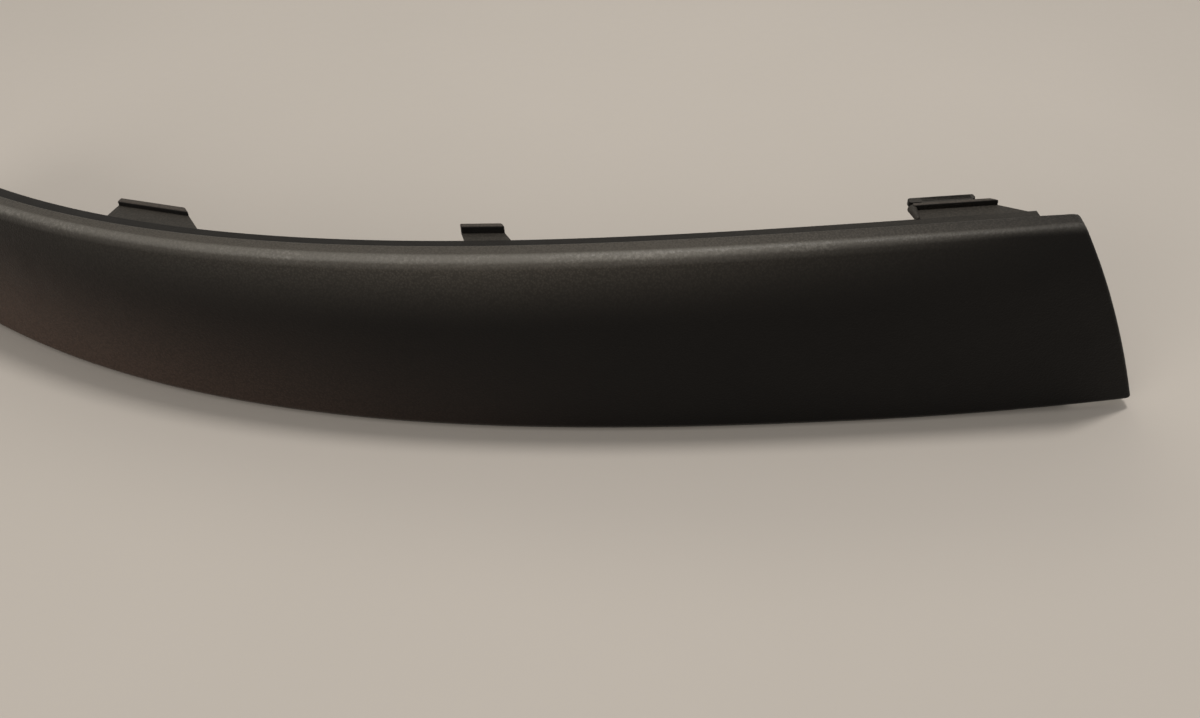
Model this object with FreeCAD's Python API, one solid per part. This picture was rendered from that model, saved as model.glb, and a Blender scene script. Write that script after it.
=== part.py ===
import FreeCAD, Part
import math
import os

# Bumper moulding: a curved, tapered channel with an open back, moulded in one piece.
# Lengths are in millimetres and angles in degrees.
# A distance runs along the front edge, from the slanted inner end to the outer end.
# A setback runs from the front edge straight back into the part.

# Front edge seen from above: a gentle bow that tightens into the corner of the car
face_length = 640.0
inner_heading = -6.3
bow_radius = 3500.0
corner_radius = 400.0
bend_start = 68.0
bend_end = 496.0

# Top edge and lower lip, seen from the front
inner_height = 93.1
outer_height = 60.0
top_slope_at_inner_end = 0.0152
lip_gap = 0.8
lip_rise = 3.6
lip_rise_length = 120.0

# Section of the channel
wall = 2.6
flange_wall = 2.4
lip_radius = 2.5
face_setback = 4.5
knee_drop = 19.0
knee_radius = 100.0
shoulder_radius = 3.5
inner_shoulder_radius = 8.0
shoulder_fade_length = 70.0
inner_band_depth = 9.7
outer_band_depth = 6.5
band_rise = 1.0
step_drop = 3.0
step_slope = 0.4
strip_depth = 8.4
foot_setback = 6.0
foot_depth = 14.0

# Ends
end_slant = 24.4
end_bulge = 2.8
end_edge_radius = 1.5
end_top_radius = 4.7
strip_end_distance = 54.0
foot_end_distance = 27.0
flange_end_trim = 0.4

# Ribs in the open back
rib_pitch = 75.0
rib_wall = 1.6
rib_depth = 6.0

# Hook tabs on the top flange: plate, then a ridge across its rear edge
tab_root = 5.0
tab_inset = 0.25
ridge_edge_radius = 0.6

outer_tab_distance = 433.2
outer_tab_base = 47.0
outer_tab_tip = 33.0
outer_tab_shift = -7.8
outer_tab_reach = 12.4
outer_ridge_width = 3.2
outer_ridge_height = 1.8

middle_tab_distance = 279.5
middle_tab_base = 19.0
middle_tab_tip = 17.2
middle_tab_shift = -3.8
middle_tab_reach = 8.3
middle_ridge_width = 2.6
middle_ridge_height = 3.0

inner_tab_distance = 80.4
inner_tab_base = 47.2
inner_tab_tip = 32.3
inner_tab_shift = -6.9
inner_tab_reach = 8.7
inner_ridge_width = 2.0
inner_ridge_height = 2.2

# Second catch behind the inner ridge: a tongue with a wider head. The plate's outer side is rolled up.
tongue_width = 21.5
tongue_shift = -8.1
tongue_wall = 2.6
tongue_reach = 4.8
head_width = 27.8
head_shift = -9.9
head_depth = 3.6
head_corner_radius = 1.2
roll_front_radius = 1.0
roll_rear_radius = 2.0
roll_drop = 0.1

# How finely the curves are worked out, and how far cutting tools reach past the part
path_steps = 240
section_count = 16
tool_reach = 40.0
end_overrun = 5.0

up = FreeCAD.Vector(0, 0, 1)


def fade(distance, length):
    """One at the inner end, easing down to zero at the given distance."""
    return max(1 - distance / length, 0) ** 2


def heading(distance):
    """Angle of the front edge to the X axis, the integral of a curvature that eases from bow to corner."""
    bend_length = bend_end - bend_start
    share = min(max((distance - bend_start) / bend_length, 0), 1)
    eased_length = bend_length * (share ** 3 - share ** 4 / 2) + max(distance - bend_end, 0)
    tightening = 1 / corner_radius - 1 / bow_radius
    return math.radians(inner_heading) + distance / bow_radius + tightening * eased_length


def front_point(distance):
    """Point of the front edge on the ground, with the inner end at X = 0."""
    step = distance / path_steps
    angles = [heading((index + 0.5) * step) for index in range(path_steps)]
    x = -step * sum(math.cos(angle) for angle in angles)
    y = step * sum(math.sin(angle) for angle in angles)
    return FreeCAD.Vector(x, y, 0)


def inward(distance):
    """Unit vector along the front edge towards the inner end."""
    return FreeCAD.Vector(math.cos(heading(distance)), -math.sin(heading(distance)), 0)


def rearward(distance):
    """Unit vector from the front edge straight back into the part."""
    return FreeCAD.Vector(math.sin(heading(distance)), math.cos(heading(distance)), 0)


def top_height(distance):
    share = distance / face_length
    bow = inner_height - outer_height - top_slope_at_inner_end * face_length
    return inner_height - top_slope_at_inner_end * distance - bow * share ** 2


def lip_height(distance):
    return lip_gap + lip_rise * fade(distance, lip_rise_length)


def band_rear(distance):
    share = distance / face_length
    return face_setback + inner_band_depth + (outer_band_depth - inner_band_depth) * share


def strip_rear(distance):
    return band_rear(distance) + strip_depth


def strip_height(distance):
    return top_height(distance) + band_rise - step_drop


def outer_corners(distance):
    """Outer skin as (setback, height, radius), closed by a straight line across the open back."""
    top = top_height(distance)
    lip = lip_height(distance)
    rear = band_rear(distance)
    strip = strip_height(distance)
    growth = inner_shoulder_radius - shoulder_radius
    shoulder = shoulder_radius + growth * fade(distance, shoulder_fade_length)
    return [
        (foot_setback + foot_depth, -lip_gap, 0),
        (foot_setback, -lip_gap, 0),
        (foot_setback, lip, 0),
        (0, lip, lip_radius),
        (0, top - knee_drop, knee_radius),
        (face_setback, top, shoulder),
        (rear, top + band_rise, 0),
        (rear + step_slope, strip, 0),
        (strip_rear(distance), strip, 0),
    ]


def cavity_corners(distance):
    """Hollow behind the skin, running out past the open back."""
    top = top_height(distance)
    floor = lip_height(distance) + flange_wall
    ceiling = strip_height(distance) - flange_wall
    step = band_rear(distance) - flange_wall
    open_back = strip_rear(distance) + tool_reach
    return [
        (open_back, flange_wall, 0),
        (foot_setback + flange_wall, flange_wall, 0),
        (foot_setback + flange_wall, floor, 0),
        (wall, floor, 0),
        (wall, top - knee_drop, knee_radius - wall),
        (face_setback + wall, top - wall, 0),
        (step, top + band_rise - flange_wall, 0),
        (step + step_slope, ceiling, 0),
        (open_back, ceiling, 0),
    ]


def rounded_corner(before, corner, after, radius):
    """Start, end and edges of a corner: one cubic curve that rounds it, or nothing for a sharp one."""
    if radius == 0:
        return corner, corner, []
    back = (before - corner).normalize()
    forward = (after - corner).normalize()
    half_turn = (math.pi - back.getAngle(forward)) / 2
    run = radius * math.tan(half_turn)
    handle = run - radius * math.tan(half_turn / 2) * 4 / 3
    poles = [corner + back * run, corner + back * handle, corner + forward * handle, corner + forward * run]
    curve = Part.BezierCurve()
    curve.setPoles(poles)
    return poles[0], poles[-1], [curve.toShape()]


def outline_wire(corners):
    """Closed wire in the XY plane through (x, y, radius) corners."""
    count = len(corners)
    points = [FreeCAD.Vector(x, y, 0) for x, y, radius in corners]
    rounded = [
        rounded_corner(points[index - 1], points[index], points[(index + 1) % count], corners[index][2])
        for index in range(count)
    ]
    edges = []
    for index, (start, end, curve) in enumerate(rounded):
        next_start = rounded[(index + 1) % count][0]
        edges += curve + [Part.makeLine(end, next_start)]
    return Part.Wire(edges)


def section_loft(corners_at, first, last):
    """Solid through the sections that corners_at gives between two distances."""
    sections = []
    for index in range(section_count):
        distance = first + (last - first) * index / (section_count - 1)
        wire = outline_wire(corners_at(distance))
        turn = FreeCAD.Rotation(rearward(distance), up, inward(distance), "XYZ")
        wire.Placement = FreeCAD.Placement(front_point(distance), turn)
        sections.append(wire)
    return Part.makeLoft(sections, True, False)


def local_prism(points, low, high, distance, slope=0.0):
    """Prism on a plan outline of (inward, setback) points, from low to high, at a distance along the part."""
    along = (inward(distance) + up * slope).normalize()
    back = rearward(distance)
    turn = FreeCAD.Rotation(along, back, along.cross(back), "XYZ")
    wire = Part.makePolygon([FreeCAD.Vector(x, y, low) for x, y in points + points[:1]])
    prism = Part.Face(wire).extrude(FreeCAD.Vector(0, 0, high - low))
    prism.Placement = FreeCAD.Placement(front_point(distance), turn)
    return prism


def rectangle(left, right, front, rear):
    return [(left, front), (right, front), (right, rear), (left, rear)]


def end_trim(inset):
    """Block that keeps what lies above the ground and inside the slanted, slightly bulged inner end.

    Its top lies just above the band at that end, so that its rounded top edge rounds the part's corner.
    """
    slant = FreeCAD.Vector(-math.tan(math.radians(end_slant)), 0, 1) * (inner_height + band_rise / 2)
    normal = FreeCAD.Vector(slant.z, 0, -slant.x).normalize()
    low = FreeCAD.Vector(-inset / normal.x, 0, 0)
    high = low + slant
    middle = low + slant / 2 + normal * end_bulge
    far = -face_length - tool_reach
    far_low = FreeCAD.Vector(far, 0, low.z)
    far_high = FreeCAD.Vector(far, 0, high.z)
    edges = [
        Part.Arc(low, middle, high).toShape(),
        Part.makeLine(high, far_high),
        Part.makeLine(far_high, far_low),
        Part.makeLine(far_low, low),
    ]
    depth = face_length + tool_reach
    block = Part.Face(Part.Wire(edges)).extrude(FreeCAD.Vector(0, 2 * depth, 0))
    top_middle = high + FreeCAD.Vector(0, depth, 0)
    top_edge = min(block.Edges, key=lambda edge: (edge.CenterOfMass - top_middle).Length)
    block = block.makeFillet(end_top_radius, [top_edge])
    block.translate(FreeCAD.Vector(0, -depth, 0))
    return block


def show_edges(end_face, distance):
    """Edges of an end that lie on the lip, the face, the shoulder and the band."""
    edges = []
    for edge in end_face.Edges:
        middle = edge.valueAt((edge.FirstParameter + edge.LastParameter) / 2)
        setback = (middle - front_point(distance)).dot(rearward(distance))
        on_top = middle.z > top_height(distance) - step_drop and setback < band_rear(distance)
        on_lip = middle.z > lip_gap / 2 and setback < foot_setback - flange_end_trim
        if on_top or on_lip:
            edges.append(edge)
    return edges


def envelope():
    """Outer form with its ends, and with the show edges of both ends rounded."""
    body = section_loft(outer_corners, -end_overrun, face_length).common(end_trim(0))
    inner_end = max(body.Faces, key=lambda face: face.CenterOfMass.x)
    body = body.makeFillet(end_edge_radius, show_edges(inner_end, 0))
    outer_end = min(body.Faces, key=lambda face: face.CenterOfMass.x)
    return body.makeFillet(end_edge_radius, show_edges(outer_end, face_length))


def cavity():
    """Hollow of the channel, stopped one wall short of both ends and notched by the ribs."""
    hollow = section_loft(cavity_corners, -end_overrun, face_length - wall).common(end_trim(wall))
    rib_outline = rectangle(-rib_wall / 2, rib_wall / 2, -wall, wall + rib_depth)
    rib_count = int((face_length - wall) // rib_pitch)
    ribs = [
        local_prism(rib_outline, -lip_gap, inner_height, rib_pitch * (index + 1))
        for index in range(rib_count)
    ]
    return hollow.cut(ribs)


def flange_end_cuts():
    """Room where the top strip and the foot stop short of the inner end."""
    open_back = strip_rear(0) + tool_reach
    floor = lip_height(0) + flange_wall
    strip_cut = rectangle(0, strip_end_distance + tool_reach, band_rear(0) - flange_end_trim, open_back)
    foot_cut = rectangle(0, foot_end_distance + tool_reach, foot_setback - flange_end_trim, open_back)
    return [
        local_prism(strip_cut, floor, inner_height + tool_reach, strip_end_distance),
        local_prism(foot_cut, -tool_reach, floor, foot_end_distance),
    ]


def tab_frame(distance):
    """Height of the flange's top at a tab, and its slope towards the inner end."""
    step = tab_root
    slope = (strip_height(distance - step) - strip_height(distance + step)) / (2 * step)
    return strip_height(distance), slope


def hook_tab(distance, base, tip, shift, reach, ridge_width, ridge_height):
    """Tapered plate that continues the flange, with a rounded ridge across its rear edge."""
    height, slope = tab_frame(distance)
    rear = strip_rear(distance)
    ridge_share = (reach - ridge_width) / reach

    def side(sign, share):
        """Point on one side of the plate, from the flange (0) to the tip (1)."""
        root_x = sign * base / 2
        tip_x = shift + sign * tip / 2
        return root_x + (tip_x - root_x) * share, rear + reach * share

    root = rear - tab_root
    plate_outline = [(-base / 2, root), (base / 2, root), side(1, 0), side(1, 1), side(-1, 1), side(-1, 0)]
    ridge_outline = [side(-1, ridge_share), side(1, ridge_share), side(1, 1), side(-1, 1)]
    plate = local_prism(plate_outline, height - flange_wall + tab_inset, height - tab_inset, distance, slope)
    ridge = local_prism(ridge_outline, height - flange_wall + tab_inset, height + ridge_height, distance, slope)
    ridge_top = max(ridge.Faces, key=lambda face: face.CenterOfMass.z)
    return plate.fuse(ridge.makeFillet(ridge_edge_radius, ridge_top.Edges))


def inner_catch(distance):
    """Tongue with a wider, rounded head behind the inner ridge, and the rolled outer side of the plate."""
    height, slope = tab_frame(distance)
    ridge_front = strip_rear(distance) + inner_tab_reach - inner_ridge_width
    head_rear = strip_rear(distance) + inner_tab_reach + tongue_reach
    top = height + inner_ridge_height - ridge_edge_radius
    tongue_outline = rectangle(
        tongue_shift - tongue_width / 2, tongue_shift + tongue_width / 2, ridge_front, head_rear)
    head_outline = rectangle(
        head_shift - head_width / 2, head_shift + head_width / 2, head_rear - head_depth, head_rear)
    tongue = local_prism(tongue_outline, top - tongue_wall, top, distance, slope)
    head = local_prism(head_outline, top - tongue_wall, top, distance, slope)
    upright = [edge for edge in head.Edges if edge.BoundBox.ZLength > tongue_wall / 2]
    head = head.makeFillet(head_corner_radius, upright)
    roll_x = inner_tab_shift - inner_tab_tip / 2
    roll_front = inward(distance) * roll_x + rearward(distance) * strip_rear(distance)
    roll_start = front_point(distance) + roll_front + up * (height - roll_drop + slope * roll_x)
    roll_length = inner_tab_reach - inner_ridge_width / 2
    roll = Part.makeCone(roll_front_radius, roll_rear_radius, roll_length, roll_start, rearward(distance))
    return tongue.fuse([head, roll])


def hook_tabs():
    return [
        hook_tab(outer_tab_distance, outer_tab_base, outer_tab_tip, outer_tab_shift, outer_tab_reach,
                 outer_ridge_width, outer_ridge_height),
        hook_tab(middle_tab_distance, middle_tab_base, middle_tab_tip, middle_tab_shift, middle_tab_reach,
                 middle_ridge_width, middle_ridge_height),
        hook_tab(inner_tab_distance, inner_tab_base, inner_tab_tip, inner_tab_shift, inner_tab_reach,
                 inner_ridge_width, inner_ridge_height),
        inner_catch(inner_tab_distance),
    ]


def bumper_molding():
    """The whole moulding, with its origin on the ground below the middle of its bounding box."""
    shell = envelope().cut(cavity()).cut(flange_end_cuts())
    body = shell.fuse(hook_tabs()).Solids[0]
    box = body.optimalBoundingBox(False, False)
    body.translate(FreeCAD.Vector(-box.Center.x, -box.Center.y, -box.ZMin))
    return body


os.makedirs("parts", exist_ok=True)
bumper_molding().exportStep("parts/bumper_molding.step")
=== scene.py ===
import math
import bmesh
import bpy
from mathutils import Matrix, Vector


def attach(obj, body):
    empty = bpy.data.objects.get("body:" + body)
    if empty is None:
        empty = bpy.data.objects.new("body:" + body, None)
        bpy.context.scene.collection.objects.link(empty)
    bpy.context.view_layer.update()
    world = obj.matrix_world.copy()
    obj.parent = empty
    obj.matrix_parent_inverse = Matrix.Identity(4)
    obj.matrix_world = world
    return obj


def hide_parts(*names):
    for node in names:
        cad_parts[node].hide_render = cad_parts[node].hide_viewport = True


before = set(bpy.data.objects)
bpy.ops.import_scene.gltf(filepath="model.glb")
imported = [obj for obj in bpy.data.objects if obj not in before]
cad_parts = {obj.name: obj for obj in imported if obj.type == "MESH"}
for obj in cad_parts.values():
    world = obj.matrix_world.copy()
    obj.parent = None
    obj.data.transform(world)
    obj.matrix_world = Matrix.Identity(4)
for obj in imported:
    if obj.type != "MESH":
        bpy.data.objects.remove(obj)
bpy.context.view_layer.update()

# Bumper moulding: one curved, tapered channel with an open back, dressed with rounded edges and grain.
# Lengths of the moulding are in millimetres, and become metres when a point is placed in the scene.
# A distance runs along the front edge, from the slanted inner end to the outer end.
# A setback runs from the front edge straight back into the part.
# The path starts where the front edge meets the inner end at floor level.
millimetre = 0.001
path_start = Vector((299.262, -64.017, 0))

# Front edge seen from above
face_length = 640.0
inner_heading = math.radians(-6.3)
bow_radius = 3500.0
corner_radius = 400.0
bend_start = 68.0
bend_end = 496.0

# Top edge and lower lip, seen from the front
inner_height = 93.1
outer_height = 60.0
top_slope_at_inner_end = 0.0152
lip_gap = 0.8
lip_rise = 3.6
lip_rise_length = 120.0

# Section of the channel
wall = 2.6
flange_wall = 2.4
lip_radius = 2.5
face_setback = 4.5
knee_drop = 19.0
knee_radius = 100.0
shoulder_radius = 3.5
inner_shoulder_radius = 8.0
shoulder_fade_length = 70.0
inner_band_depth = 9.7
outer_band_depth = 6.5
band_rise = 1.0
step_drop = 3.0
step_slope = 0.4
strip_depth = 8.4
foot_setback = 6.0
foot_depth = 14.0
band_edge_radius = 0.6
edge_radius = 0.35
foot_edge_radius = 0.25

# Ends
end_slant = math.radians(24.0)
end_bulge = 2.5
end_edge_radius = 1.5
end_top_radius = 4.7
end_low_radius = 1.6
strip_end_distance = 54.0
foot_end_distance = 27.0
flange_end_trim = 0.4

# Ribs in the open back
rib_pitch = 75.0
rib_wall = 1.6
rib_depth = 6.0

# Hook tabs on the fixing strip, each a tapered plate with a ridge across its rear edge
tab_root = 5.0
tab_inset = 0.25
tab_edge_radius = 0.35
ridge_edge_radius = 0.6
outer_tab = dict(
    distance=433.2, base=47.0, tip=33.0, shift=-7.8, reach=12.4, ridge_width=3.2, ridge_height=1.8)
middle_tab = dict(
    distance=279.5, base=19.0, tip=17.2, shift=-3.8, reach=8.3, ridge_width=2.6, ridge_height=3.0)
inner_tab = dict(
    distance=80.4, base=47.2, tip=32.3, shift=-6.9, reach=8.7, ridge_width=2.0, ridge_height=2.2)

# Second catch behind the inner ridge: a tongue with a wider head. The plate's outer side is rolled up.
tongue_width = 21.5
tongue_shift = -8.1
tongue_wall = 2.6
tongue_reach = 4.8
head_width = 27.8
head_shift = -9.9
head_depth = 3.6
head_corner_radius = 1.2
roll_front_radius = 1.0
roll_rear_radius = 2.0
roll_drop = 0.1
roll_sides = 24

# How finely the mesh follows the form. The last four are counts of steps round a corner or along a run.
station_pitch = 4.0
ramp = 0.24
path_step = 1.0
shear_rounds = 5
zone_pitch = 6.0
ring_count = 5
few = 2
edge_steps = 3
some = 6
many = 12

# Edges: the least turn of a plate's edge that is rounded, the shape of that rounding, the turn at which
# the shading breaks, and how near two points are when they are one, in metres
least_edge_turn = math.radians(20)
round_profile = 0.5
sharp_turn = math.radians(48)
same_place = 1e-7

# Finish: each point has a share of grain, wear with a painted highlight, fading with painted sheen, and a
# warm tint, from 0 for none to 1 for all.
# The grain is whole on the show side. Wear and fading, with their painted highlight and sheen, start low at
# the inner end and grow along a length.
back_grain = 0.25
inner_finish = 0.2
inner_finish_length = 260.0
# The fading share of the plates and the ridges' tops is partly painted sheen on faces that look up.
tab_finish = dict(grain=0.5, wear_and_highlight=0, faded_and_sheen=0.5, warm_tint=0)
ridge_finish = dict(grain=0.7, wear_and_highlight=0, faded_and_sheen=0.05, warm_tint=0)
ridge_top_finish = dict(grain=0.7, wear_and_highlight=0, faded_and_sheen=0.7, warm_tint=0.1)

# Wear with a painted highlight: the most on the lip and the band's rear edge, the least on the shoulder,
# and the share of it that is left at the outer end. The rubbed line, mostly a painted highlight, starts on
# the upper side of the shoulder, and is whole further out.
lip_wear = 0.35
band_wear = 0.5
shoulder_least_wear_and_highlight = 0.45
outer_wear_and_highlight = 0.6
whole_line_start = 70.0
whole_line_full = 200.0

# Fading with painted sheen: on the face it runs out below the shoulder, and to both sides of a middle
# distance.
# It is weaker at the band's rear edge, and on the strip it falls from the inner end to its least.
fade_and_sheen_drop = 32.0
fade_and_sheen_falloff = 1.8
fade_and_sheen_middle = 285.0
fade_and_sheen_reach = 270.0
band_rear_fade_and_sheen = 0.85
strip_fade_and_sheen = 0.5
strip_least_fade_and_sheen = 0.15
strip_fade_and_sheen_length = 220.0

# A lighter, warmer tint: the distances at which it starts and is full, and the height at which it runs out
warm_tint_start = 180.0
warm_tint_full = 520.0
warm_tint_height = 75.0

# Materials: scales are per metre, a pair is a range, and colours are linear.
# A noise keeps near its middle, so the range that it uses is stretched.
rising = (0, 1)
falling = (1, 0)
noise_range = (0.3, 0.7)

# Grain of the plastic: pebbles, creases and fine noise, with the share of each in the relief
pebble_scale = 1050
pebble_range = (0.05, 0.75)
pebble_relief = 0.55
crease_noise = dict(scale=420, detail=3)
crease_relief = 0.25
fine_noise = dict(scale=3600, detail=2)
fine_relief = 0.3
relief_strength = 0.9
relief_depth = 0.00018

# Tones of the plastic: two blacks in slow patches, then the faded colour with painted sheen, the warm tint,
# and the rubbed colour with a painted highlight over them
tone_noise = dict(scale=14, detail=4, roughness=0.6)
deep_black = (0.0036, 0.0032, 0.0030, 1)
soft_black = (0.0050, 0.0044, 0.0040, 1)
faded_and_sheen_colour = (0.060, 0.053, 0.044, 1)
warm_tint_colour = (0.106, 0.070, 0.054, 1)
rubbed_and_highlight_colour = (0.245, 0.232, 0.210, 1)
speckle_range = (0.6, 1.4)
speckle_strength = (0.85, 1.45)
rubbed_highlight_noise = dict(scale=700, detail=5, roughness=0.7)
rubbed_highlight_range = (0.46, 0.66)
rubbed_highlight_strength = (0.5, 1)
streak_noise = dict(scale=45, detail=3)
streak_range = (0.35, 0.65)
streak_strength = (0.15, 1)

# Gloss of the plastic: its roughness, and how pebbles, wear and a lack of grain change it
gloss_noise = dict(scale=85, detail=4, roughness=0.6)
plastic_roughness = (0.38, 0.5)
pebble_roughness = 0.05
wear_polish = 0.12
bare_roughness = (0.16, 0)
plastic_specular = 0.14

# Floor
floor_half_width = 6
cloud_noise = dict(scale=3.2, detail=3)
floor_dark = (0.474, 0.437, 0.396, 1)
floor_light = (0.494, 0.454, 0.412, 1)
floor_gloss_noise = dict(scale=160, detail=3)
floor_roughness = (0.62, 0.75)
floor_specular = 0.12

# Light: a soft sky and three lamps, in metres and watts
sky_colour = (1, 0.98, 0.95, 1)
sky_strength = 0.45
ceiling_lamp = dict(
    location=(0.32, 0.17, 1.5), target=(0.05, 0, 0), size=(0.2, 0.3), power=10.5, colour=(1, 0.97, 0.93))
rear_softbox = dict(
    location=(-0.5, 1.15, 1.45), target=(-0.1, 0, 0.05), size=(2.0, 0.5), power=4, colour=(1, 0.94, 0.8))
front_softbox = dict(
    location=(-1.1, -1.6, 0.9), target=(-0.1, 0, 0.05), size=(1.4, 0.8), power=15, colour=(1, 0.96, 0.9))

# Camera: the view of the photograph, with the target on the floor at the middle of the picture
camera_elevation = math.radians(38)
camera_distance = 0.5954
camera_target = Vector((0.0666, -0.0297, 0))
camera_focal_pixels = 1300
camera_clip_start = 0.01
picture_width = 1200
sensor_width = 36

up = Vector((0, 0, 1))


def clamp(value):
    return min(max(value, 0), 1)


def mix(start, end, share):
    return start + (end - start) * share


def fade(distance, length):
    """One at the inner end, easing down to zero at the given distance."""
    return max(1 - distance / length, 0) ** 2


def heading(distance):
    """Angle of the front edge to the X axis: a curvature that eases from bow to corner, summed up."""
    bend_length = bend_end - bend_start
    share = clamp((distance - bend_start) / bend_length)
    eased_length = bend_length * (share ** 3 - share ** 4 / 2) + max(distance - bend_end, 0)
    tightening = 1 / corner_radius - 1 / bow_radius
    return inner_heading + distance / bow_radius + tightening * eased_length


def inward(distance):
    """Unit vector along the front edge towards the inner end."""
    return Vector((math.cos(heading(distance)), -math.sin(heading(distance)), 0))


def rearward(distance):
    """Unit vector from the front edge straight back into the part."""
    return Vector((math.sin(heading(distance)), math.cos(heading(distance)), 0))


def front_edge_points():
    """Front edge on the ground at every path step."""
    points = [Vector((0, 0, 0))]
    for index in range(int(face_length / path_step)):
        points.append(points[-1] - inward((index + 0.5) * path_step) * path_step)
    return points


front_edge = front_edge_points()


def front_point(distance):
    index = int(min(max(distance / path_step, 0), len(front_edge) - 2))
    return front_edge[index].lerp(front_edge[index + 1], distance / path_step - index)


def placed(distance, setback, height):
    """Point of the moulding in the scene, in metres."""
    return (path_start + front_point(distance) + rearward(distance) * setback + up * height) * millimetre


def top_height(distance):
    share = distance / face_length
    bow = inner_height - outer_height - top_slope_at_inner_end * face_length
    return inner_height - top_slope_at_inner_end * distance - bow * share ** 2


def lip_height(distance):
    return lip_gap + lip_rise * fade(distance, lip_rise_length)


def band_rear(distance):
    return face_setback + mix(inner_band_depth, outer_band_depth, distance / face_length)


def strip_rear(distance):
    return band_rear(distance) + strip_depth


def strip_height(distance):
    return top_height(distance) + band_rise - step_drop


def shoulder(distance):
    return mix(shoulder_radius, inner_shoulder_radius, fade(distance, shoulder_fade_length))


strip_cut = band_rear(0) - flange_end_trim
foot_cut = foot_setback - flange_end_trim
rib_places = [rib_pitch * (index + 1) for index in range(int((face_length - wall) // rib_pitch))]


def features(distance):
    """How much of the strip, the foot and a rib there is at a distance, from 0 to 1."""
    strip = clamp((distance - strip_end_distance) / ramp)
    foot = clamp((distance - foot_end_distance) / ramp)
    nearest = min(abs(distance - place) for place in rib_places)
    rib = clamp((rib_wall / 2 + ramp - nearest) / ramp)
    return strip, foot, rib


def section_corners(distance, strip, foot, rib):
    """Closed section as (setback, height, radius, rounding steps, divisions of the run to the next).

    The outer skin comes first, from the foot round the lip and the face to the strip, then the hollow.
    """
    top = top_height(distance)
    lip = lip_height(distance)
    floor = lip + flange_wall
    crest = top + band_rise
    strip_top = strip_height(distance)
    ceiling = strip_top - flange_wall
    strip_end = mix(strip_cut, strip_rear(distance), strip)
    step = band_rear(distance) - flange_wall
    web = clamp(foot * 2)
    sole = clamp(foot * 2 - 1)
    foot_wall = foot_setback + flange_wall
    foot_front = mix(foot_cut, foot_setback, web)
    foot_rear = mix(mix(foot_cut, foot_wall, web), foot_setback + foot_depth, sole)
    sole_top = mix(mix(floor, flange_wall - edge_radius, web), flange_wall, sole)
    rib_front = wall + rib_depth
    face_inside = mix(wall, rib_front, rib)
    web_top = mix(mix(foot_cut - 2 * edge_radius, foot_wall, web), rib_front, rib)
    web_low = mix(mix(foot_cut - edge_radius, foot_wall, web), rib_front, rib)
    roof_slope = (band_rise - flange_wall + wall) / (step - face_setback - wall)
    rib_top = top - wall + (rib_front - face_setback - wall) * roof_slope
    return [
        (foot_rear, mix(floor - edge_radius, 0, web), foot_edge_radius, few, some),
        (foot_front, mix(floor - flange_wall / 2, 0, web), foot_edge_radius, few, few),
        (foot_front, lip, foot_edge_radius, few, few),
        (0, lip, lip_radius, some, many),
        (0, top - knee_drop, knee_radius, some, few),
        (face_setback, top, shoulder(distance), many, some),
        (mix(strip_cut, band_rear(distance), strip), crest, band_edge_radius, edge_steps, few),
        (mix(strip_cut, band_rear(distance) + step_slope, strip), strip_top, edge_radius, few, few),
        (strip_end, mix(strip_top - flange_wall / 2, strip_top, strip), edge_radius, few, 1),
        (strip_end, ceiling, edge_radius, few, few),
        (step + step_slope, ceiling, edge_radius, few, 1),
        (step, crest - flange_wall, edge_radius, few, few),
        (mix(face_setback + wall, rib_front, rib), mix(top - wall, rib_top, rib), edge_radius, few, few),
        (face_inside, top - knee_drop, knee_radius - wall, some, many),
        (face_inside, mix(floor, floor + flange_wall, rib), edge_radius, few, few),
        (web_top, floor, foot_edge_radius, few, 1),
        (web_low, mix(floor, flange_wall, web), foot_edge_radius, few, some),
        (foot_rear, sole_top, foot_edge_radius, few, 1),
    ]


# Places in the list of corners
outer_corner_count = 9
lip_corner = 3
shoulder_corner = 5
band_corner = 6
inner_shoulder_corner = 12
inner_floor_corner = 14


def rounded_corner(before, corner, after, radius, steps):
    """Points of the cubic curve that rounds a corner."""
    back = (before - corner).normalized()
    forward = (after - corner).normalized()
    half_turn = (math.pi - back.angle(forward)) / 2
    run = radius * math.tan(half_turn)
    handle = run - radius * math.tan(half_turn / 2) * 4 / 3
    poles = [
        corner + back * run, corner + back * handle, corner + forward * handle, corner + forward * run,
    ]
    points = []
    for index in range(steps + 1):
        share = index / steps
        rest = 1 - share
        points.append(
            poles[0] * rest ** 3 + poles[1] * 3 * rest ** 2 * share
            + poles[2] * 3 * rest * share ** 2 + poles[3] * share ** 3)
    return points


def section_points(distance, shares):
    """Points of the closed section as (setback, height), with the index at which each corner starts."""
    corners = section_corners(distance, *shares)
    places = [Vector(corner[:2]) for corner in corners]
    count = len(corners)
    rounded = []
    for index, (*_, radius, steps, _) in enumerate(corners):
        before = places[index - 1]
        after = places[(index + 1) % count]
        rounded.append(rounded_corner(before, places[index], after, radius, steps))
    points = []
    starts = []
    for index, (*_, divisions) in enumerate(corners):
        starts.append(len(points))
        points += rounded[index]
        run_start = rounded[index][-1]
        run_end = rounded[(index + 1) % count][0]
        points += [run_start.lerp(run_end, step / divisions) for step in range(1, divisions)]
    return points, starts


section_starts = section_points(face_length, features(face_length))[1]
outer_count = section_starts[outer_corner_count]


def corner_recess(depth, radius, lean):
    """How far a rounded corner of the end draws back, at a depth from the edge that it meets."""
    reach = radius * (1 - math.sin(lean))
    if depth >= reach:
        return 0
    depth = max(depth, 0)
    centre = -radius * (1 - math.sin(lean)) / math.cos(lean)
    return math.tan(lean) * depth - centre - math.sqrt(radius ** 2 - (radius - depth) ** 2)


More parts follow.
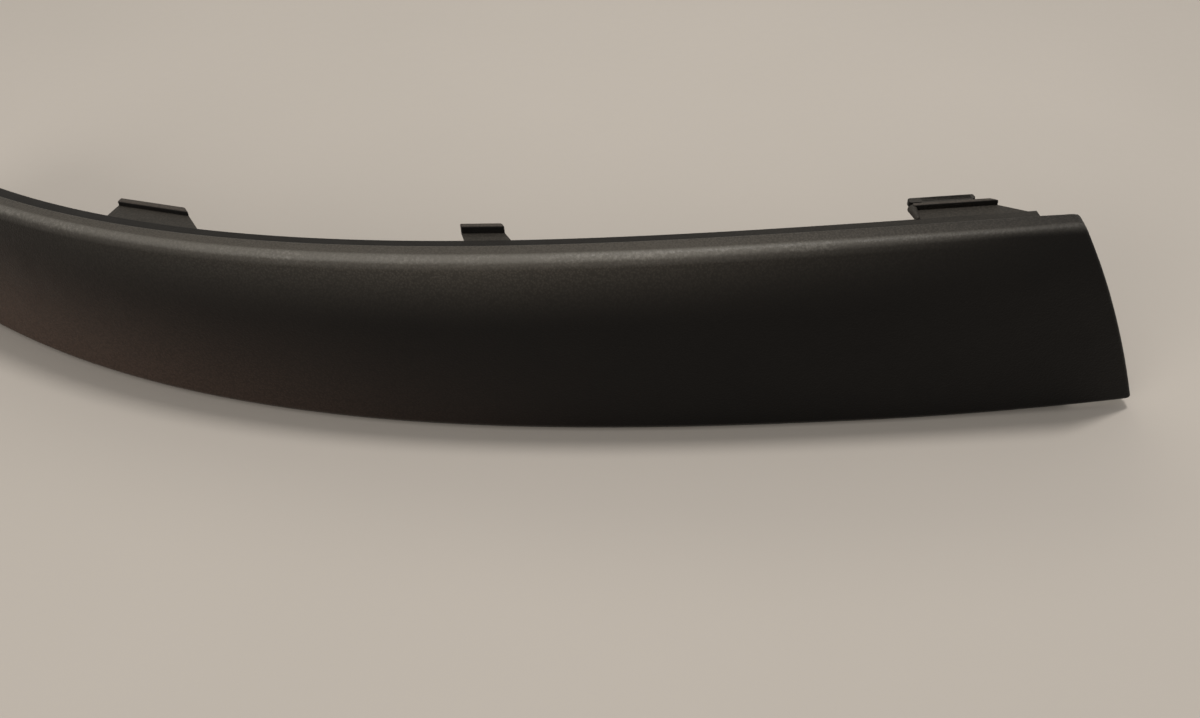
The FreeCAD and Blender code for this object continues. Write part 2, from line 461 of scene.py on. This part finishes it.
def end_distance(point, distance, inset):
    """Distance at which a (setback, height) point meets the slanted, bulged inner end, less an inset."""
    setback, height = point
    tall = inner_height + band_rise / 2
    share = height / tall
    for _ in range(shear_rounds):
        bulge = end_bulge * 4 * share * (1 - share)
        share = (height - bulge * math.sin(end_slant)) / tall
    crest = top_height(distance) + band_rise
    recess = corner_recess(crest - height, end_top_radius, end_slant)
    recess += corner_recess(height - lip_height(distance), end_low_radius, -end_slant)
    slanted_x = bulge * math.cos(end_slant) - tall * share * math.tan(end_slant)
    x = slanted_x - inset / math.cos(end_slant) - recess
    for _ in range(shear_rounds):
        point_x = front_point(distance).x + rearward(distance).x * setback
        distance += (point_x - x) / math.cos(heading(distance))
    return distance


def slanted_loop(station, angle=0):
    """Section in the end zone as (setback, height, distance), sheared to the slant at station 0."""
    shares = features(station)
    share = station / strip_end_distance
    zone_count = int(strip_end_distance / zone_pitch) + 1
    zone = [section_points(index * zone_pitch, shares)[0] for index in range(zone_count)]
    loop = []
    for index in range(len(zone[0])):
        inset = end_edge_radius * (1 - math.sin(angle)) if index < outer_count else wall
        distance = station
        for _ in range(shear_rounds):
            place = min(max(distance / zone_pitch, 0), zone_count - 2)
            low = int(place)
            point = zone[low][index].lerp(zone[low + 1][index], place - low)
            start = end_distance(point, distance, inset)
            distance = mix(start, strip_end_distance, share)
        loop.append((*point, distance))
    return loop


def square_loop(station):
    """Section as (setback, height, distance), with the hollow stopped a wall short of the outer end."""
    points = section_points(station, features(station))[0]
    deepest = face_length - wall
    return [
        (*point, station if index < outer_count else min(station, deepest))
        for index, point in enumerate(points)
    ]


def drawn_in(loop, amount):
    """Outer points of a loop moved into the material, except across faces that look to the rear."""
    outer = [Vector(point[:2]) for point in loop[:outer_count]]
    moved = []
    for index, point in enumerate(outer):
        along = outer[min(index + 1, outer_count - 1)] - outer[max(index - 1, 0)]
        along.normalize()
        moved.append((point.x + max(along.y, 0) * amount, point.y - along.x * amount, loop[index][2]))
    return moved


def ring_angles():
    return [math.pi / 2 * (index + 1) / ring_count for index in range(ring_count)]


def inner_end_rings():
    """Rings that round the edge of the inner end, from the skin to the end's flat."""
    rings = []
    for angle in ring_angles():
        inset = end_edge_radius * (1 - math.sin(angle))
        ring = drawn_in(slanted_loop(0, angle), end_edge_radius * (1 - math.cos(angle)))
        rings.append([(*point[:2], end_distance(point[:2], point[2], inset)) for point in ring])
    return rings


def outer_end_rings():
    rings = []
    for angle in ring_angles():
        station = face_length - end_edge_radius * (1 - math.sin(angle))
        rings.append(drawn_in(square_loop(station), end_edge_radius * (1 - math.cos(angle))))
    return rings


def stations():
    """Distances of the sections: an even pitch, with more where a flange or a rib starts."""
    marks = [0, strip_end_distance, strip_end_distance + ramp]
    marks += [foot_end_distance, foot_end_distance + ramp / 2, foot_end_distance + ramp]
    for place in rib_places:
        for edge in (rib_wall / 2, rib_wall / 2 + ramp):
            marks += [place - edge, place + edge]
    marks.append(face_length - end_edge_radius)
    even = [index * station_pitch for index in range(int(face_length / station_pitch))]
    clear = station_pitch / 4
    marks += [place for place in even if min(abs(place - mark) for mark in marks) > clear]
    return sorted(marks)


def surface_values():
    """Grain, wear with its painted highlight, and fading with its painted sheen of each outer point of the
    section, as a list of dicts.
    """
    middle = face_length / 2
    points = section_points(middle, features(middle))[0][:outer_count]
    show_start = section_starts[lip_corner]
    show_end = section_starts[band_corner + 1]
    values = []
    for index, point in enumerate(points):
        on_show = show_start <= index < show_end
        faded_and_sheen = clamp(1 - (top_height(middle) - point.y) / fade_and_sheen_drop) ** fade_and_sheen_falloff
        if index > section_starts[shoulder_corner]:
            faded_and_sheen *= mix(band_rear_fade_and_sheen, 1, clamp((band_rear(middle) - point.x) / outer_band_depth))
        values.append(dict(grain=1 if on_show else back_grain, wear_and_highlight=0, faded_and_sheen=faded_and_sheen))
    # Wear on the lip and the band's rear edge; on the shoulder it is mostly a painted highlight line.
    rubbed_corners = (
        (lip_corner, some, 0, lip_wear),
        (shoulder_corner, many, shoulder_least_wear_and_highlight, 1),
        (band_corner, edge_steps, 0, band_wear),
    )
    for corner, steps, least, most in rubbed_corners:
        for step in range(steps + 1):
            wear_and_highlight = mix(least, most, math.sin(math.pi * step / steps))
            values[section_starts[corner] + step]["wear_and_highlight"] = wear_and_highlight
    return values


section_values = surface_values()
back_values = dict(grain=back_grain, wear_and_highlight=0, faded_and_sheen=0, warm_tint=0)


def skin_values(index, height, distance):
    """Values of one outer point: those of the section, changed along the part.

    The warm tint eases in towards the outer end and the floor, up to a half.
    """
    values = dict(section_values[index])
    inner_share = clamp(inner_finish + distance / inner_finish_length)
    outward = clamp((distance - warm_tint_start) / (warm_tint_full - warm_tint_start))
    values["wear_and_highlight"] *= inner_share * mix(1, outer_wear_and_highlight, outward)
    values["faded_and_sheen"] *= inner_share
    step = index - section_starts[shoulder_corner]
    face_share = clamp(1 - abs(distance - fade_and_sheen_middle) / fade_and_sheen_reach)
    if step < 0:
        values["faded_and_sheen"] *= face_share
    elif step <= many:
        line_share = clamp((distance - whole_line_start) / (whole_line_full - whole_line_start))
        values["wear_and_highlight"] *= mix((step / many) ** 2, 1, line_share)
        values["faded_and_sheen"] *= mix(face_share, 1, step / many)
    if index >= section_starts[band_corner + 1]:
        values["faded_and_sheen"] = mix(strip_least_fade_and_sheen, strip_fade_and_sheen, clamp(1 - distance / strip_fade_and_sheen_length))
    share = outward * clamp(1 - height / warm_tint_height)
    values["warm_tint"] = share ** 2 - share ** 4 / 2
    return values


def add_point(mesh, position, values=back_values):
    vertex = mesh.verts.new(position)
    for name, value in values.items():
        vertex[mesh.verts.layers.float[name]] = value
    return vertex


def add_loop(mesh, loop):
    row = []
    for index, (setback, height, distance) in enumerate(loop):
        values = skin_values(index, height, distance) if index < outer_count else back_values
        row.append(add_point(mesh, placed(distance, setback, height), values))
    return row


def bridge(mesh, first, second, closed):
    """Quads between two rows of vertices."""
    count = len(first)
    for index in range(count if closed else count - 1):
        after = (index + 1) % count
        mesh.faces.new((first[index], first[after], second[after], second[index]))


def close_end(mesh, loop, rings, ring_points, rear_at):
    """End wall: the rounded rings, the outer flat, the flat inside the hollow, and the wall's rear edge.

    rear_at gives the setback of the wall's rear edge at a height.
    """
    outer = loop["vertices"][:outer_count]
    inner = loop["vertices"][outer_count:]
    for row in rings:
        bridge(mesh, outer, row, False)
        outer = row
    low = section_starts[lip_corner] + some
    high = section_starts[shoulder_corner]
    flat = ring_points[-1]
    outer_rear = [
        add_point(mesh, placed(point[2], rear_at(point[1]), point[1])) for point in flat[low:high + 1]
    ]
    bridge(mesh, outer[low:high + 1], outer_rear, False)
    mesh.faces.new(outer[:low + 1] + outer_rear[:1])
    mesh.faces.new(outer[high:] + outer_rear[-1:])
    first = section_starts[inner_shoulder_corner] + few - outer_count
    last = section_starts[inner_floor_corner] - outer_count
    inner_points = loop["points"][outer_count:]
    inner_rear = [
        add_point(mesh, placed(point[2], rear_at(point[1]), point[1]))
        for point in inner_points[first:last + 1]
    ]
    bridge(mesh, inner[first:last + 1], inner_rear, False)
    mesh.faces.new(inner[:first + 1] + inner_rear[:1])
    mesh.faces.new(inner[last:] + inner_rear[-1:])
    skin = loop["vertices"][:outer_count]
    tops = [skin[-1]] + [row[-1] for row in rings]
    bottoms = [skin[0]] + [row[0] for row in rings]
    mesh.faces.new(tops + outer_rear[::-1] + inner_rear[::-1] + inner[:1])
    mesh.faces.new(bottoms + outer_rear[:1] + inner_rear[-1:] + inner[-1:])


def channel_mesh():
    """The channel with its flanges, ribs and end walls, as one closed mesh."""
    mesh = bmesh.new()
    for name in back_values:
        mesh.verts.layers.float.new(name)
    loops = []
    for station in stations():
        points = slanted_loop(station) if station < strip_end_distance else square_loop(station)
        loops.append(dict(points=points, vertices=add_loop(mesh, points)))
    for first, second in zip(loops, loops[1:]):
        bridge(mesh, first["vertices"], second["vertices"], True)
    inner_rings = inner_end_rings()
    close_end(
        mesh, loops[0], [add_loop(mesh, ring) for ring in inner_rings], inner_rings,
        lambda height: strip_cut)
    outer_rings = outer_end_rings()
    lean = (strip_rear(face_length) - foot_setback - foot_depth) / strip_height(face_length)
    close_end(
        mesh, loops[-1], [add_loop(mesh, ring) for ring in outer_rings], outer_rings,
        lambda height: foot_setback + foot_depth + lean * height)
    return mesh


def tab_place(distance):
    """Place and axes of a tab: along the flange, to the rear and up, with the flange's top at zero."""
    slope = (strip_height(distance - tab_root) - strip_height(distance + tab_root)) / (2 * tab_root)
    along = (inward(distance) + up * slope).normalized()
    back = rearward(distance)
    axes = Matrix((along, back, along.cross(back))).transposed().to_4x4()
    origin = path_start + front_point(distance) + up * strip_height(distance)
    return Matrix.Scale(millimetre, 4) @ Matrix.Translation(origin) @ axes


def add_prism(mesh, outline, low, high, place, radius, finish, top_finish):
    """Prism with its sharp edges rounded, and a finish of its own on top."""
    prism = bmesh.new()
    bottom = [prism.verts.new((x, y, low)) for x, y in outline]
    top = [prism.verts.new((x, y, high)) for x, y in outline]
    bridge(prism, bottom, top, True)
    prism.faces.new(bottom)
    prism.faces.new(top)
    bmesh.ops.recalc_face_normals(prism, faces=prism.faces)
    sharp = [edge for edge in prism.edges if edge.calc_face_angle() > least_edge_turn]
    bmesh.ops.bevel(
        prism, geom=sharp, affect="EDGES", offset=radius, segments=edge_steps, profile=round_profile,
        clamp_overlap=True)
    made = {}
    for vertex in prism.verts:
        values = top_finish if vertex.co.z > high - radius / 2 else finish
        made[vertex] = add_point(mesh, place @ vertex.co, values)
    for face in prism.faces:
        mesh.faces.new([made[vertex] for vertex in face.verts])
    prism.free()


def rectangle(middle, width, front, rear):
    left = middle - width / 2
    right = middle + width / 2
    return [(left, front), (right, front), (right, rear), (left, rear)]


def add_tab(mesh, distance, base, tip, shift, reach, ridge_width, ridge_height):
    """Tapered plate that continues the flange, with a rounded ridge across its rear edge."""
    place = tab_place(distance)
    rear = strip_rear(distance)
    ridge_share = (reach - ridge_width) / reach

    def side(sign, share):
        """Point on one side of the plate, from the flange (0) to the tip (1)."""
        return mix(sign * base / 2, shift + sign * tip / 2, share), rear + reach * share

    root = rear - tab_root
    plate = [(-base / 2, root), (base / 2, root), side(1, 0), side(1, 1), side(-1, 1), side(-1, 0)]
    ridge = [side(-1, ridge_share), side(1, ridge_share), side(1, 1), side(-1, 1)]
    low = tab_inset - flange_wall
    add_prism(mesh, plate, low, -tab_inset, place, tab_edge_radius, tab_finish, tab_finish)
    add_prism(mesh, ridge, low, ridge_height, place, ridge_edge_radius, ridge_finish, ridge_top_finish)


def rounded_outline(corners, radius):
    """Plan outline with every corner rounded."""
    places = [Vector(corner) for corner in corners]
    outline = []
    for index, corner in enumerate(places):
        after = places[(index + 1) % len(places)]
        outline += rounded_corner(places[index - 1], corner, after, radius, some)
    return outline


def add_roll(mesh, distance, place):
    """Rolled outer side of the inner plate: a round bar that widens from the flange to the ridge."""
    x = inner_tab["shift"] - inner_tab["tip"] / 2
    front = strip_rear(distance)
    rear = front + inner_tab["reach"] - inner_tab["ridge_width"] / 2
    nose = roll_front_radius / 2
    rows = []
    for radius, setback in ((nose, front - nose), (roll_front_radius, front), (roll_rear_radius, rear)):
        row = []
        for index in range(roll_sides):
            angle = 2 * math.pi * index / roll_sides
            spoke = Vector((x + radius * math.cos(angle), setback, radius * math.sin(angle) - roll_drop))
            row.append(add_point(mesh, place @ spoke, tab_finish))
        rows.append(row)
    bridge(mesh, rows[0], rows[1], True)
    bridge(mesh, rows[1], rows[2], True)
    mesh.faces.new(rows[0][::-1])
    mesh.faces.new(rows[2])


def add_inner_catch(mesh):
    """Tongue with a wider, rounded head behind the inner ridge, and the plate's rolled outer side."""
    distance = inner_tab["distance"]
    place = tab_place(distance)
    reach = strip_rear(distance) + inner_tab["reach"]
    ridge_front = reach - inner_tab["ridge_width"]
    head_rear = reach + tongue_reach
    top = inner_tab["ridge_height"] - ridge_edge_radius
    low = top - tongue_wall
    tongue = rectangle(tongue_shift, tongue_width, ridge_front, head_rear)
    head = rectangle(head_shift, head_width, head_rear - head_depth, head_rear)
    head = rounded_outline(head, head_corner_radius)
    add_prism(mesh, tongue, low, top, place, tab_edge_radius, tab_finish, tab_finish)
    add_prism(mesh, head, low, top, place, tab_edge_radius, ridge_finish, tab_finish)
    add_roll(mesh, distance, place)


def moulding_piece():
    """The channel with its tabs, as one object."""
    mesh = channel_mesh()
    bmesh.ops.remove_doubles(mesh, verts=mesh.verts, dist=same_place)
    bmesh.ops.dissolve_degenerate(mesh, edges=mesh.edges, dist=same_place)
    bmesh.ops.recalc_face_normals(mesh, faces=mesh.faces)
    for tab in (outer_tab, middle_tab, inner_tab):
        add_tab(mesh, **tab)
    add_inner_catch(mesh)
    data = bpy.data.meshes.new("moulded_channel")
    mesh.to_mesh(data)
    mesh.free()
    data.shade_smooth()
    data.set_sharp_from_angle(angle=sharp_turn)
    piece = bpy.data.objects.new("moulded_channel", data)
    bpy.context.scene.collection.objects.link(piece)
    weighted = piece.modifiers.new("flat_faces_stay_flat", "WEIGHTED_NORMAL")
    weighted.keep_sharp = True
    return piece


class NodeTree:
    """A material's nodes, added and linked in one call each."""

    def __init__(self, name):
        self.material = bpy.data.materials.new(name)
        self.material.use_nodes = True
        self.tree = self.material.node_tree
        self.shader = self.tree.nodes["Principled BSDF"]

    def add(self, kind, inputs, output, **settings):
        """Adds a node and returns one of its outputs. An input is a value or another node's output."""
        node = self.tree.nodes.new(kind)
        for name, value in settings.items():
            setattr(node, name, value)
        for socket, value in inputs.items():
            self.set(node.inputs[socket], value)
        return node.outputs[output]

    def set(self, socket, value):
        if isinstance(value, bpy.types.NodeSocket):
            self.tree.links.new(value, socket)
        else:
            socket.default_value = value

    def finish(self, **inputs):
        """Sets the shader's inputs, with _ for a space in a name, and returns the material."""
        for name, value in inputs.items():
            self.set(self.shader.inputs[name.replace("_", " ")], value)
        return self.material

    def place(self):
        return self.add("ShaderNodeTexCoord", {}, "Object")

    def attribute(self, name):
        return self.add("ShaderNodeAttribute", {}, "Fac", attribute_name=name)

    def noise(self, scale, detail, roughness=0.5):
        inputs = {"Vector": self.place(), "Scale": scale, "Detail": detail, "Roughness": roughness}
        return self.add("ShaderNodeTexNoise", inputs, "Fac")

    def cells(self, scale):
        return self.add("ShaderNodeTexVoronoi", {"Vector": self.place(), "Scale": scale}, "Distance")

    def sum(self, first, second):
        return self.add("ShaderNodeMath", {0: first, 1: second}, "Value", operation="ADD")

    def product(self, first, second):
        return self.add("ShaderNodeMath", {0: first, 1: second}, "Value", operation="MULTIPLY")

    def spread(self, value, old, new=rising):
        """Maps one range onto another, without going past it."""
        inputs = {
            "Value": value, "From Min": old[0], "From Max": old[1], "To Min": new[0], "To Max": new[1],
        }
        return self.add("ShaderNodeMapRange", inputs, "Result")

    def blend(self, share, first, second):
        """Mix of two colours, by the places of the node's colour sockets, since their names repeat."""
        return self.add("ShaderNodeMix", {0: share, 6: first, 7: second}, 2, data_type="RGBA")


def grained_plastic():
    """Black moulded plastic with a fine leather grain, faded tones with painted sheen, a warm tint, and
    rubbed edges with a painted highlight line.
    """
    nodes = NodeTree("grained_black_plastic")
    grain = nodes.attribute("grain")
    pebbles = nodes.spread(nodes.cells(pebble_scale), pebble_range, falling)
    creases = nodes.spread(nodes.noise(**crease_noise), noise_range)
    fine = nodes.noise(**fine_noise)
    relief = nodes.sum(nodes.product(pebbles, pebble_relief), nodes.product(creases, crease_relief))
    relief = nodes.sum(relief, nodes.product(fine, fine_relief))
    relief = nodes.product(relief, grain)
    bump_inputs = {"Strength": relief_strength, "Distance": relief_depth, "Height": relief}
    bump = nodes.add("ShaderNodeBump", bump_inputs, "Normal")
    tone = nodes.spread(nodes.noise(**tone_noise), noise_range)
    colour = nodes.blend(tone, deep_black, soft_black)
    speckle = nodes.spread(nodes.sum(pebbles, fine), speckle_range, speckle_strength)
    # Faded colour: partly real fading, partly painted sheen on the shoulder, the upper face, the band and
    # the tabs' tops.
    colour = nodes.blend(nodes.product(nodes.attribute("faded_and_sheen"), speckle), colour, faded_and_sheen_colour)
    # A lighter, warmer tint towards the outer end and the floor.
    colour = nodes.blend(nodes.product(nodes.attribute("warm_tint"), speckle), colour, warm_tint_colour)
    # Rubbed colour: wear, and a painted highlight line along the shoulder.
    rubbed_highlight = nodes.spread(nodes.noise(**rubbed_highlight_noise), rubbed_highlight_range)
    streaks = nodes.spread(nodes.noise(**streak_noise), streak_range, streak_strength)
    patches = nodes.spread(nodes.product(rubbed_highlight, streaks), rising, rubbed_highlight_strength)
    wear_and_highlight = nodes.attribute("wear_and_highlight")
    colour = nodes.blend(nodes.product(patches, wear_and_highlight), colour, rubbed_and_highlight_colour)
    roughness = nodes.spread(nodes.noise(**gloss_noise), noise_range, plastic_roughness)
    roughness = nodes.sum(roughness, nodes.product(pebbles, pebble_roughness))
    roughness = nodes.sum(roughness, nodes.product(wear_and_highlight, -wear_polish))
    roughness = nodes.sum(roughness, nodes.spread(grain, rising, bare_roughness))
    return nodes.finish(
        Base_Color=colour, Roughness=roughness, Normal=bump, Specular_IOR_Level=plastic_specular)


def pale_table():
    """Plain pale table top, a little uneven in tone and gloss."""
    nodes = NodeTree("pale_table")
    cloud = nodes.spread(nodes.noise(**cloud_noise), noise_range)
    colour = nodes.blend(cloud, floor_dark, floor_light)
    roughness = nodes.spread(nodes.noise(**floor_gloss_noise), noise_range, floor_roughness)
    return nodes.finish(Base_Color=colour, Roughness=roughness, Specular_IOR_Level=floor_specular)


def add_camera():
    data = bpy.data.cameras.new("photo_camera")
    data.sensor_width = sensor_width
    data.lens = sensor_width * camera_focal_pixels / picture_width
    data.clip_start = camera_clip_start
    camera = bpy.data.objects.new("photo_camera", data)
    bpy.context.scene.collection.objects.link(camera)
    back = Vector((0, -math.cos(camera_elevation), math.sin(camera_elevation)))
    camera.location = camera_target + back * camera_distance
    camera.rotation_euler = (math.pi / 2 - camera_elevation, 0, 0)
    bpy.context.scene.camera = camera


def add_lamp(name, location, target, size, power, colour):
    """Soft lamp, as wide and high as its size says."""
    data = bpy.data.lights.new(name, "AREA")
    data.shape = "ELLIPSE"
    data.size, data.size_y = size
    data.energy = power
    data.color = colour
    light = bpy.data.objects.new(name, data)
    bpy.context.scene.collection.objects.link(light)
    light.location = location
    aim = Vector(target) - Vector(location)
    light.rotation_euler = aim.to_track_quat("-Z", "Y").to_euler()


def add_floor():
    reach = floor_half_width
    data = bpy.data.meshes.new("floor")
    corners = [(-reach, -reach, 0), (reach, -reach, 0), (reach, reach, 0), (-reach, reach, 0)]
    data.from_pydata(corners, [], [(0, 1, 2, 3)])
    plane = bpy.data.objects.new("floor", data)
    bpy.context.scene.collection.objects.link(plane)
    data.materials.append(pale_table())


def add_light():
    world = bpy.data.worlds.new("studio")
    bpy.context.scene.world = world
    world.use_nodes = True
    sky = world.node_tree.nodes["Background"]
    sky.inputs["Color"].default_value = sky_colour
    sky.inputs["Strength"].default_value = sky_strength
    add_lamp("ceiling_lamp", **ceiling_lamp)
    add_lamp("rear_softbox", **rear_softbox)
    add_lamp("front_softbox", **front_softbox)


piece = moulding_piece()
piece.data.materials.append(grained_plastic())
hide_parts("bumper_molding")
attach(piece, "root")
add_camera()
add_floor()
add_light()
bpy.context.scene.view_settings.view_transform = "Standard"
